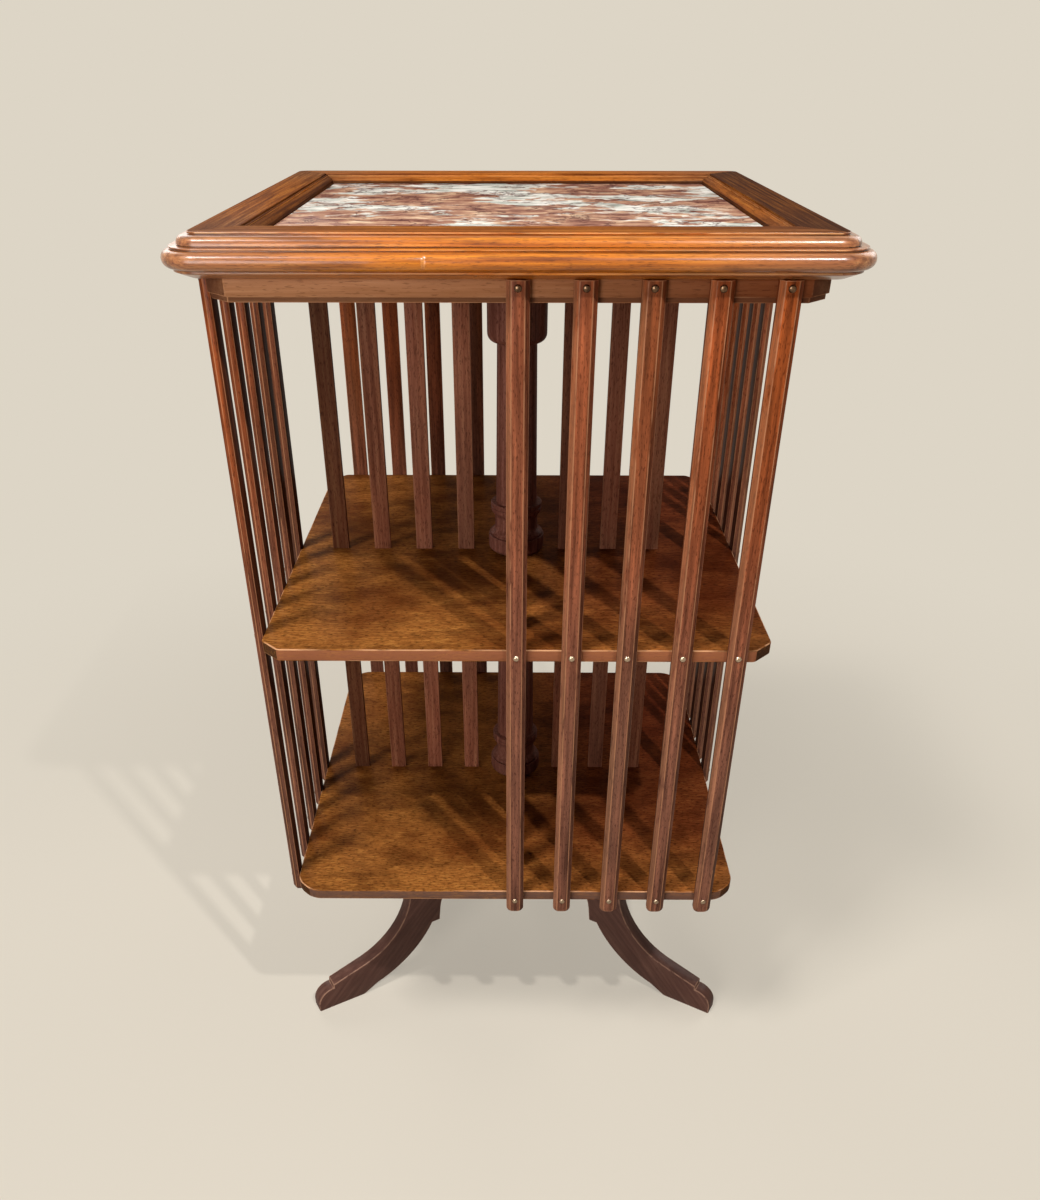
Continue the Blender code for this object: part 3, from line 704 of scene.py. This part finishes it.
board = {
    "clip": 0.016,
    "softSteps": 4,
    "arris": 0.0009,
    "arrisSteps": 3,
    "edgePolish": 0.9,
    "steep": 0.1,
    "askew": 0.5,
    # painted light in front of and left of these lines, painted shade behind them, with how much the shade
    # behind each counts
    "frontShadeRise": (-0.19, -0.11), "frontShare": 0.6,
    "rightShadeRise": (-0.04, 0.1), "leftShare": 0.75,
    "rearShadeRise": (-0.06, 0.14), "rearShare": 0.2,
    "cuts": (-0.18, -0.15, -0.12, -0.08, -0.04, 0.0, 0.04, 0.08, 0.12, 0.15, 0.18),
    "spindleHole": 0.010,  # radius in the middle shelf
    "room": 0.0003,  # round the bush and the pivot cup
    "holeSteps": 32,
    "holeField": 0.04,  # half the square of faces that a hole is cut from
}
frieze = {
    "band": 0.012,
    "setback": 0.002,
    "arris": 0.0006,
    "sharp": 30,
    "worn": 0.5,
    "darkening": 0.8,  # painted shade on the clipped corners and the set-back fillet
    "askew": 0.3,
    "changeOver": (-0.12, 0.2),
    "stretch": 13,
}


def boardShade(spot):
    # painted light and shade: the left and the front edge are tinted gold as lit, the rest red as in shade
    behind = 1 - board["frontShare"] + board["frontShare"] * rise(spot.y, *board["frontShadeRise"])
    right = board["leftShare"] * rise(spot.x, *board["rightShadeRise"])
    return right * behind + board["rearShare"] * rise(spot.y, *board["rearShadeRise"])


def boreBoard(bm, radius, levels, deep=0.0):
    # a round hole on the axis, through two levels or deep into one
    rings = []
    for level in levels:
        field = [
            f for f in bm.faces
            if all(
                abs(v.co.z - level) < tiny and max(abs(v.co.x), abs(v.co.y)) < board["holeField"] + tiny
                for v in f.verts
            )
        ]
        rim = [e for e in bm.edges if sum(f in field for f in e.link_faces) == 1]
        bmesh.ops.delete(bm, geom=field, context="FACES")
        ring = bmesh.ops.create_circle(
            bm, segments=board["holeSteps"], radius=radius, matrix=Matrix.Translation((0, 0, level))
        )["verts"]
        rings.append([e for e in bm.edges if all(v in ring for v in e.verts)])
        bmesh.ops.triangle_fill(bm, use_beauty=True, edges=rim + rings[-1])
    if deep:
        bmesh.ops.contextual_create(bm, geom=extrudeLoop(bm, rings[0], (0, 0, deep)))
    else:
        bmesh.ops.bridge_loops(bm, edges=rings[0] + rings[1])


def buildBoard(name, node, stretch, soft, finish, hole):
    low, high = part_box(node)
    bm = block(*(high - low))
    easeEdges(bm, uprightEdges(bm), board["clip"], steps=1)
    easeEdges(bm, uprightEdges(bm), soft, board["softSteps"])
    rims = [e for e in bm.edges if abs(e.verts[0].co.z - e.verts[1].co.z) < tiny]
    easeEdges(bm, rims, board["arris"], board["arrisSteps"], worn=1.0)
    wearAndShading = bm.faces.layers.float["wearAndShading"]
    for face in bm.faces:
        if abs(face.normal.z) < board["steep"]:
            face[wearAndShading] = -board["edgePolish"]
            # the clipped corners take the nearly black corner wood: painted shade
            face.material_index = int(min(abs(face.normal.x), abs(face.normal.y)) > board["askew"])
    for normal in ((1, 0, 0), (0, 1, 0)):
        cutAcross(bm, board["cuts"], normal)
    half = (high.z - low.z) / 2
    boreBoard(bm, hole, (-half, half))
    piece = keepPiece(
        name, bm, [finish, cornerShadeWood], node, Matrix.Translation((low + high) / 2),
        stretch=stretch, shade=boardShade,
    )
    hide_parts(node)


def friezeShade(spot):
    # painted shade: on each side the half behind the slats is tinted darker, the open half lighter
    if spot.y < -abs(spot.x):
        along = spot.x
    elif spot.y > abs(spot.x):
        along = -spot.x
    elif spot.x >= abs(spot.y):
        along = spot.y
    else:
        along = -spot.y
    return rise(along, *frieze["changeOver"])


def buildFrieze():
    low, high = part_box("frieze_board")
    size = high - low
    bm = block(size.x, size.y, frieze["band"])
    easeEdges(bm, uprightEdges(bm), board["clip"], steps=1)
    under = [f for f in bm.faces if f.normal.z < tiny - 1]
    bmesh.ops.inset_region(bm, faces=under, thickness=frieze["setback"], use_even_offset=True)
    fillet = bmesh.ops.extrude_face_region(bm, geom=under)["geom"]
    bmesh.ops.delete(bm, geom=under, context="FACES")
    bmesh.ops.translate(bm, vec=(0, 0, frieze["band"] - size.z), verts=vertsOf(fillet))
    wearAndShading = bm.faces.layers.float["wearAndShading"]
    for face in bm.faces:
        clipped = min(abs(face.normal.x), abs(face.normal.y)) > frieze["askew"]
        # painted shade on the clipped corners and the set-back fillet
        if clipped or face.calc_center_median().z < -frieze["band"] / 2 - tiny:
            face[wearAndShading] = -frieze["darkening"]
    easeEdges(bm, sharpEdges(bm, frieze["sharp"]), frieze["arris"], worn=frieze["worn"])
    for normal in ((1, 0, 0), (0, 1, 0)):
        cutAcross(bm, board["cuts"], normal)
    cupLow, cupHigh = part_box("pivot_cup")
    deep = cupHigh.z - low.z + board["room"]
    boreBoard(bm, (cupHigh.x - cupLow.x) / 2 + board["room"], [frieze["band"] / 2 - size.z], deep)
    place = Matrix.Translation(((low.x + high.x) / 2, (low.y + high.y) / 2, high.z - frieze["band"] / 2))
    piece = keepPiece(
        "friezeBoard", bm, [friezeWood], "frieze_board", place,
        stretch=frieze["stretch"], shade=friezeShade,
    )
    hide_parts("frieze_board")


bushLow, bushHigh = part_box("bottom_bush")
bushHole = (bushHigh.x - bushLow.x) / 2 + board["room"]
shelves = {
    # node, stretch of board, how round the clipped corners are rubbed, finish, radius of the hole
    "middleShelf": ("middle_shelf", 11, 0.0025, shelfWood, board["spindleHole"]),
    "bottomShelf": ("bottom_shelf", 12, 0.008, lowShelfWood, bushHole),
}
for name, settings in shelves.items():
    buildBoard(name, *settings)
buildFrieze()
print("boards made")


column = {
    "steps": 6,
    "bore": 0.010,
    # radius, height, size of the round
    "foot": [
        (0.0273, 0.0, 0.005), (0.0273, 0.0164, 0.0012), (0.0250, 0.0164), (0.0250, 0.0172),
        (0.0258, 0.0172), (0.0258, 0.0185), (0.0208, 0.0232, 0.002), (0.0208, 0.0355, 0.002),
        (0.0248, 0.0405, 0.0015), (0.0248, 0.0440), (0.0240, 0.0445), (0.0248, 0.0450),
        (0.0248, 0.0490, 0.0012), (0.0198, 0.0490),
    ],
    "neck": 0.0182,  # radius under the capital
    "capital": 0.0270,
    "capitalRound": 0.0075,
    "capitalHeight": 0.071,
    "stretch": 20,
}


def columnMoves(height):
    capital = height - column["capitalHeight"]
    return [
        (column["bore"], 0.0), *column["foot"], (column["neck"], capital),
        (column["capital"], capital, column["capitalRound"]), (column["capital"], height),
        (column["bore"], height),
    ]


for number, tier in enumerate(("lower", "upper")):
    node = "column_" + tier
    low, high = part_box(node)
    bm = turnedShape(columnMoves(high.z - low.z), column["steps"], closed=True)
    piece = keepPiece(
        "turnedColumn_" + tier, bm, [columnWood], node, axisAt(low.z),
        standingGrain, column["stretch"] + number,
    )
    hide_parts(node)
print("columns made")


slat = {
    "width": 0.0165,
    "thick": 0.008,
    "endRound": 0.006,
    "endSteps": 6,
    "chamfer": 0.0035,
    "arris": 0.0005,
    "sharp": 30,
    "facing": 0.3,
    "litChamfer": 0.4,  # painted light: the chamfers on one side are made paler, as lit from the left
    # the sides facing right are darkened: painted shade
    "shadedSide": 0.3,
    "shadedBack": {"front": 0.3, "right": 0.85, "rear": 0.0, "left": 0.85},  # painted shade on the slats' backs, by side
    "cuts": (-0.1, -0.02, 0.06, 0.14, 0.22),
    "changeOver": (-0.1, 0.22),
    "footShade": 0.9,
    "topShade": 0.5,
    "shadeStep": 0.12,  # from each slat to the next
    "count": 5,
    "stretch": 30,
    "sideStretch": 7,
}
screw = {
    "radius": 0.0027,
    "crown": 0.0014,
    "around": 16,
    "rings": 8,
    "turn": 0.4,
    "turnStep": 0.7,
    "belowTop": 0.005,  # under the slat's top end
    "belowMiddle": 0.0035,  # under the middle shelf's top
    "belowBottom": 0.0056,
    # the middle and bottom rows are painted pale: a painted highlight
    "paled": (0.0, 0.9, 0.5),  # top, middle and bottom row
}


def slatShape(height, side):
    bm = block(slat["width"], slat["thick"], height)
    ends = [
        e for e in bm.edges
        if all(v.co.z < 0 for v in e.verts) and abs(e.verts[0].co.y - e.verts[1].co.y) > tiny
    ]
    easeEdges(bm, ends, slat["endRound"], slat["endSteps"])
    front = [
        e for e in bm.edges
        if all(v.co.y < 0 for v in e.verts) and not all(v.co.z > height / 2 - tiny for v in e.verts)
    ]
    easeEdges(bm, front, slat["chamfer"], steps=1)
    wearAndShading = bm.faces.layers.float["wearAndShading"]
    for face in bm.faces:
        # painted light on one chamfer, painted shade on the right-facing sides and the backs
        if max(face.normal.x, face.normal.y) < -slat["facing"]:
            face[wearAndShading] = slat["litChamfer"]
        elif face.normal.x > slat["facing"]:
            face[wearAndShading] = -slat["shadedSide"]
        elif face.normal.y > slat["facing"]:
            face[wearAndShading] = -slat["shadedBack"][side]
    easeEdges(bm, sharpEdges(bm, slat["sharp"]), slat["arris"], worn=1.0)
    return bm


def slatShade(number):
    # painted light: the tops are tinted orange, most of all towards the corner, and the feet grey
    foot = slat["footShade"]
    top = slat["topShade"] - slat["shadeStep"] * (number - 1)
    return lambda spot: foot + (top - foot) * rise(spot.z, *slat["changeOver"])


def screwHeads(heights):
    # domed heads on a slat's face, which is the plane y = 0 here, facing -Y
    bm = startShape()
    wearAndShading = bm.faces.layers.float["wearAndShading"]
    for number, height in enumerate(heights):
        head = bmesh.ops.create_uvsphere(
            bm, u_segments=screw["around"], v_segments=screw["rings"], radius=screw["radius"]
        )["verts"]
        ball = [*head, *{e for v in head for e in v.link_edges}, *{f for v in head for f in v.link_faces}]
        cutOff = bmesh.ops.bisect_plane(
            bm, geom=ball, dist=tiny, plane_co=(0, 0, 0), plane_no=(0, 0, -1), clear_outer=True
        )
        rim = [g for g in cutOff["geom_cut"] if isinstance(g, bmesh.types.BMEdge)]
        bmesh.ops.holes_fill(bm, edges=rim, sides=0)
        head = list({v for v in vertsOf(cutOff["geom"]) if v.is_valid})
        flatten = Matrix.Diagonal((1, 1, screw["crown"] / screw["radius"], 1))
        turn = Matrix.Rotation(screw["turnStep"] * number + screw["turn"], 4, "Z")
        tip = Matrix.Translation((0, 0, height)) @ Matrix.Rotation(quarter, 4, "X")
        bmesh.ops.transform(bm, matrix=tip @ turn @ flatten, verts=head)
        # painted highlight on the lower rows
        for face in {f for v in head for f in v.link_faces}:
            face[wearAndShading] = screw["paled"][number]
    return bm


middleTop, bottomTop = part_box("middle_shelf")[1].z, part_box("bottom_shelf")[1].z
for turnNumber, side in enumerate(sides):
    for number in range(1, slat["count"] + 1):
        node = f"slat_{side}_{number}"
        low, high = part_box(node)
        place = Matrix.Translation((low + high) / 2) @ sideTurn(side)
        bm = slatShape(high.z - low.z, side)
        cutAcross(bm, slat["cuts"], (0, 0, 1))
        piece = keepPiece(
            f"slat_{side}_{number}_wood", bm, [slatWood], node, place,
            standingGrain, slat["stretch"] + slat["sideStretch"] * turnNumber + number, slatShade(number),
        )
        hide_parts(node)
        middle = (low.z + high.z) / 2
        heights = [
            high.z - screw["belowTop"], middleTop - screw["belowMiddle"], bottomTop - screw["belowBottom"],
        ]
        face = place @ Matrix.Translation((0, -slat["thick"] / 2, -middle))
        keepPiece(f"slatScrews_{side}_{number}", screwHeads(heights), [screwSteel], node, face)
print("slats and screws made")


divider = {
    "width": 0.016,
    "thick": 0.007,
    "arris": 0.0007,
    "worn": 0.6,
    "count": 4,
    "shades": (0.15, 0.0, 0.4, 0.95),  # the strips took the stain unevenly
    "stretch": 70,
    "sideStretch": 5,
}

for turnNumber, side in enumerate(sides):
    for number in range(1, divider["count"] + 1):
        node = f"divider_{side}_{number}"
        low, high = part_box(node)
        bm = block(divider["thick"], divider["width"], high.z - low.z)
        easeEdges(bm, uprightEdges(bm), divider["arris"], worn=divider["worn"])
        place = Matrix.Translation((low + high) / 2) @ sideTurn(side)
        piece = keepPiece(
            f"divider_{side}_{number}_wood", bm, [dividerWood], node, place, standingGrain,
            divider["stretch"] + divider["sideStretch"] * turnNumber + number,
            lambda spot: divider["shades"][number - 1],
        )
        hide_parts(node)
print("dividers made")


leg = {
    "thick": 0.0165,
    "arris": 0.0011,
    "sharp": 20,
    "steps": 12,
    "grain": Matrix.Rotation(math.radians(-48), 3, "Y"),  # runs down the slope of the leg
    "outline": [
        (0.0423, 0.2246), (0.1445, 0.2246), (0.1445, 0.1380), ("turn", 0.2400, 0.1380, 70), (0.2500, 0.0345),
        (0.2500, 0.0295), ("turn", 0.2500, 0.0095, -90), (0.2700, 0.0), (0.2130, 0.0), (0.19509, 0.01056),
        ("turn", 0.2365, 0.1380, -43.5), (0.10874, 0.07406), (0.1025, 0.1380, 0.045), (0.0503, 0.1506),
        (0.0423, 0.1506),
    ],
    "angles": {"rear": 90, "front_left": 210, "front_right": 330},
    "stretch": 100,
}


def legShape():
    bm = startShape()
    drawOutline(bm, leg["outline"], leg["steps"])
    cheek = bmesh.ops.contextual_create(bm, geom=bm.edges[:])["faces"]
    bmesh.ops.translate(bm, vec=(0, -leg["thick"] / 2, 0), verts=bm.verts)
    far = bmesh.ops.extrude_face_region(bm, geom=cheek, use_keep_orig=True)["geom"]
    bmesh.ops.translate(bm, vec=(0, leg["thick"], 0), verts=vertsOf(far))
    bmesh.ops.recalc_face_normals(bm, faces=bm.faces)
    easeEdges(bm, sharpEdges(bm, leg["sharp"]), leg["arris"], worn=1.0)
    return bm


for number, (name, degrees) in enumerate(leg["angles"].items()):
    node = "leg_" + name
    place = onAxis @ Matrix.Rotation(math.radians(degrees), 4, "Z")
    piece = keepPiece(
        f"sabreLeg_{name}", legShape(), [baseWood], node, place,
        leg["grain"], leg["stretch"] + number,
    )
    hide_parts(node)
print("legs made")


platform = {
    "radius": 0.150,
    "thick": 0.020,
    "bore": 0.0083,
    "room": 0.0003,  # round the iron plate
    "steps": 10,
    "rounds": 96,
    "stretch": 110,
}


def buildPlatform():
    thick = platform["thick"]
    edge = platform["radius"] - thick / 2
    plateLow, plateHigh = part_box("spindle_plate")
    recess = (plateHigh.x - plateLow.x) / 2 + platform["room"]
    sunk = thick - (plateHigh.z - plateLow.z) - platform["room"]
    moves = [
        (platform["bore"], 0.0), (edge, 0.0), ("turn", edge, thick / 2, 180), (recess, thick),
        (recess, sunk), (platform["bore"], sunk),
    ]
    bm = turnedShape(moves, platform["steps"], closed=True, rounds=platform["rounds"])
    place = axisAt(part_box("base_platform")[0].z)
    piece = keepPiece(
        "basePlatform", bm, [baseWood], "base_platform", place, stretch=platform["stretch"]
    )
    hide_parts("base_platform")


hub = {
    "radius": 0.050,
    "height": 0.085,
    "round": 0.020,
    "socket": 0.0083,  # radius of the blind hole for the spindle
    "socketDeep": 0.060,
    "steps": 8,
    "stretch": 111,
}


def buildHub():
    height = hub["height"]
    end = height - hub["socketDeep"]
    moves = [
        (0.0, 0.0), (hub["radius"], 0.0, hub["round"]), (hub["radius"], height),
        (hub["socket"], height), (hub["socket"], end), (0.0, end),
    ]
    bm = turnedShape(moves, hub["steps"], closed=False)
    place = axisAt(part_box("base_hub")[0].z)
    piece = keepPiece(
        "baseHub", bm, [baseWood], "base_hub", place, standingGrain, hub["stretch"]
    )
    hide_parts("base_hub")


buildPlatform()
buildHub()
print("platform and hub made")


# the bearing pieces and the leg screws keep their solids
keptNodes = {
    "spindle": blackIron,
    "spindle_plate": blackIron,
    "leg_screw_rear": blackIron,
    "leg_screw_front_left": blackIron,
    "leg_screw_front_right": blackIron,
    "thrust_washer": dullBrass,
    "bottom_bush": dullBrass,
    "pivot_cup": dullBrass,
}
for node, material in keptNodes.items():
    for materialSlot in frame["nodes"][node].material_slots:
        materialSlot.material = material
print("iron and brass put on")


stage = {
    "pale": "#ddd5c6",  # what the camera sees far off
    "floor": "#a8a093",
    "glow": 0.45,  # share of pale that the lit floor gets added near the object, so its shadow stays soft
    "roughness": 0.8,
    "specular": 0.1,
    "radius": 9.0,
    "segments": 96,
    "fadeFrom": 0.4,
    "fadeTo": 1.5,
    "ambient": 0.02,
    "ambientColour": "#ffffff",
}


def seenRays(tree):
    rays = addNode(tree, "ShaderNodeLightPath").outputs
    seen = rays["Is Camera Ray"]
    for ray in ("Is Glossy Ray", "Is Transmission Ray"):
        seen = addNode(tree, "ShaderNodeMath", {0: seen, 1: rays[ray]}, operation="MAXIMUM").outputs[0]
    return seen


def buildStage():
    bm = bmesh.new()
    bmesh.ops.create_circle(bm, cap_ends=True, segments=stage["segments"], radius=stage["radius"])
    mesh = bpy.data.meshes.new("floor")
    bm.to_mesh(mesh)
    bm.free()
    floor = bpy.data.objects.new("floor", mesh)
    bpy.context.scene.collection.objects.link(floor)
    material, tree = startMaterial("floorPlain")
    seen = seenRays(tree)
    place = addNode(tree, "ShaderNodeTexCoord").outputs["Object"]
    away = addNode(tree, "ShaderNodeVectorMath", {0: place}, operation="LENGTH")
    changeOver = addNode(
        tree, "ShaderNodeMapRange",
        {"Value": away.outputs["Value"], "From Min": stage["fadeFrom"], "From Max": stage["fadeTo"]},
        interpolation_type="SMOOTHSTEP",
    )
    strength = addNode(tree, "ShaderNodeMath", {0: seen, 1: stage["glow"]}, operation="MULTIPLY")
    near = addNode(
        tree, "ShaderNodeBsdfPrincipled",
        {
            "Base Color": linear(stage["floor"]),
            "Roughness": stage["roughness"],
            "Specular IOR Level": stage["specular"],
            "Emission Color": linear(stage["pale"]),
            "Emission Strength": strength.outputs[0],
        },
    )
    far = addNode(tree, "ShaderNodeEmission", {"Color": linear(stage["pale"])})
    share = addNode(tree, "ShaderNodeMath", {0: changeOver.outputs[0], 1: seen}, operation="MULTIPLY")
    joined = addNode(
        tree, "ShaderNodeMixShader", {0: share.outputs[0], 1: near.outputs[0], 2: far.outputs[0]}
    )
    addNode(tree, "ShaderNodeOutputMaterial", {"Surface": joined.outputs[0]})
    mesh.materials.append(material)

    world = bpy.data.worlds.new("studio")
    world.use_nodes = True
    bpy.context.scene.world = world
    tree = world.node_tree
    tree.nodes.clear()
    seen = seenRays(tree)
    soft = addNode(
        tree, "ShaderNodeBackground",
        {"Color": linear(stage["ambientColour"]), "Strength": stage["ambient"]},
    )
    pale = addNode(tree, "ShaderNodeBackground", {"Color": linear(stage["pale"]), "Strength": 1.0})
    both = addNode(tree, "ShaderNodeMixShader", {0: seen, 1: soft.outputs[0], 2: pale.outputs[0]})
    addNode(tree, "ShaderNodeOutputWorld", {"Surface": both.outputs[0]})


aimHeight = 0.5  # every lamp points at this height on the axis
lamps = {
    # bearing from the front in degrees (left is negative), height angle, distance, size, watts
    "windowLeft": (-44, 57, 4.0, 0.7, 100),
    "windowLow": (-25, 12, 3.5, 1.6, 60),
    "lampRight": (29, 50, 2.25, 0.05, 22),
    "fillLeft": (-150, 30, 3.5, 1.8, 26),
    "fillRight": (130, 30, 3.5, 1.8, 26),
}


def buildLamps():
    aim = Vector((axisX, axisY, aimHeight))
    for name, (bearing, lift, distance, size, watts) in lamps.items():
        light = bpy.data.lights.new(name, "AREA")
        light.shape = "SQUARE"
        light.size = size
        light.energy = watts
        lamp = bpy.data.objects.new(name, light)
        side, up = math.radians(bearing), math.radians(lift)
        away = Vector((math.sin(side) * math.cos(up), -math.cos(side) * math.cos(up), math.sin(up)))
        lamp.location = aim + away * distance
        lamp.rotation_euler = away.to_track_quat("Z", "Y").to_euler()
        bpy.context.scene.collection.objects.link(lamp)


view = {
    "place": (-0.00192, axisY - 0.96367, 0.93461),
    "yaw": -0.00608,
    "pitch": 0.60132,
    "roll": 0.00038,
    "lens": 30.488,
    "sensor": 36.0,
    "shift": (0.0097, 0.1292),
    "clipStart": 0.02,
}


def buildCamera():
    camera = bpy.data.cameras.new("camera")
    camera.lens = view["lens"]
    camera.sensor_width = view["sensor"]
    camera.sensor_fit = "AUTO"
    camera.shift_x, camera.shift_y = view["shift"]
    camera.clip_start = view["clipStart"]
    eye = bpy.data.objects.new("camera", camera)
    turn = Matrix.Rotation(-view["yaw"], 4, "Z") @ Matrix.Rotation(quarter - view["pitch"], 4, "X")
    eye.matrix_world = Matrix.Translation(view["place"]) @ turn @ Matrix.Rotation(view["roll"], 4, "Z")
    bpy.context.scene.collection.objects.link(eye)
    bpy.context.scene.camera = eye


buildStage()
buildLamps()
buildCamera()
print("stage, lamps and camera made")
